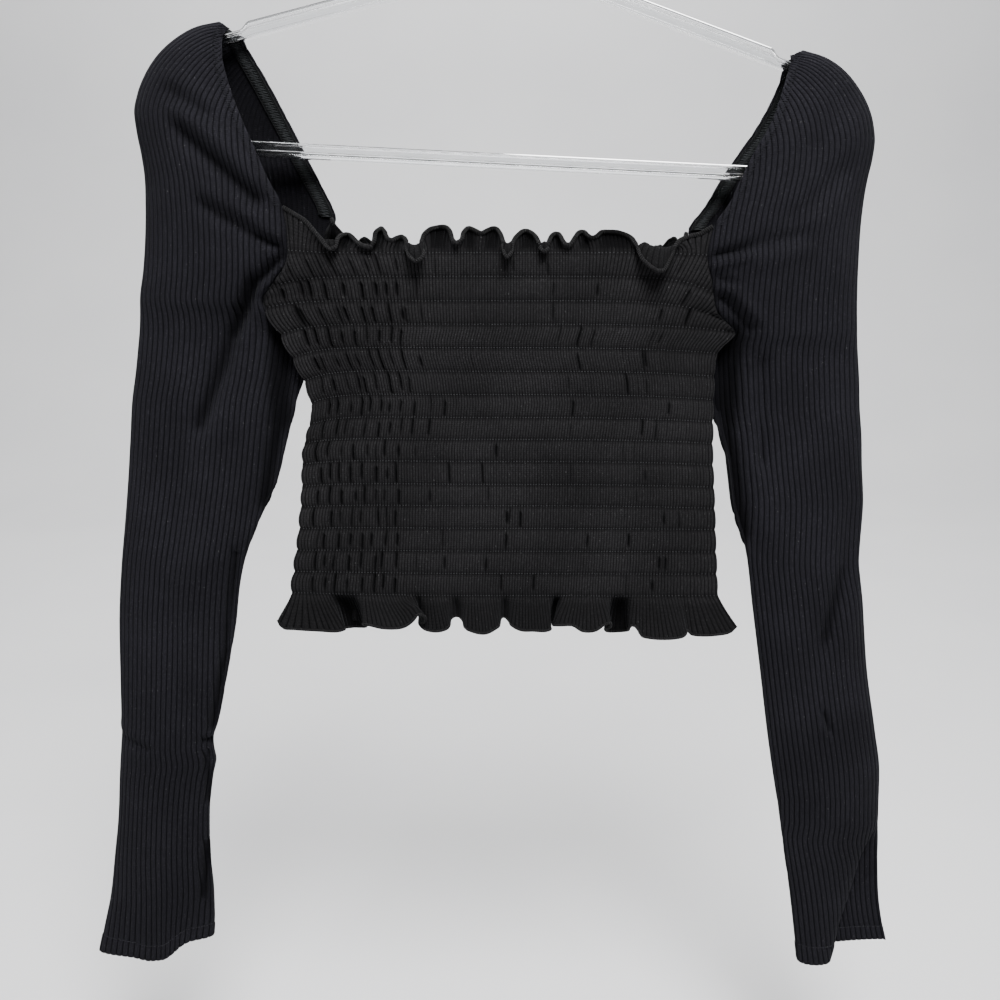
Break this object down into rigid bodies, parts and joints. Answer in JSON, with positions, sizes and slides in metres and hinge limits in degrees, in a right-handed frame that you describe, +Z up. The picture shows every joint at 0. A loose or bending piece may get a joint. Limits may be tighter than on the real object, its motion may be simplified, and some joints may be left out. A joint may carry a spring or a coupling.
{
  "type": "smocked top on a hanger",
  "caption": "Long-sleeved rib-knit top with a shirred body, square ruffled neck and fluted hem, hanging flat on a clear plastic hanger with a hook and bottom bar.",
  "frame": {"origin": "inside crown of the hanger's hook, where the rail carries it", "axes": "+Z up, the garment's front faces -Y, +X to the viewer's right"},
  "size_m": [0.547, 0.0468, 0.7153],
  "materials": {
    "rib_knit_front": "matte black shirred rib knit",
    "rib_knit_back": "matte black shirred rib knit",
    "rib_knit_sleeve": "matte black vertical rib knit",
    "neck_elastic": "matte dark grey overlocked elastic",
    "clear_plastic": "clear moulded plastic",
    "hook_steel": "bright plated wire"
  },
  "bodies": {
    "root": {"front_panel": "rib_knit_front", "back_panel": "rib_knit_back", "sleeve_left": "rib_knit_sleeve", "sleeve_right": "rib_knit_sleeve", "neck_elastic_left": "neck_elastic", "neck_elastic_right": "neck_elastic", "hanger_frame": "clear_plastic", "hanger_hook": "hook_steel"}
  },
  "joints": []
}
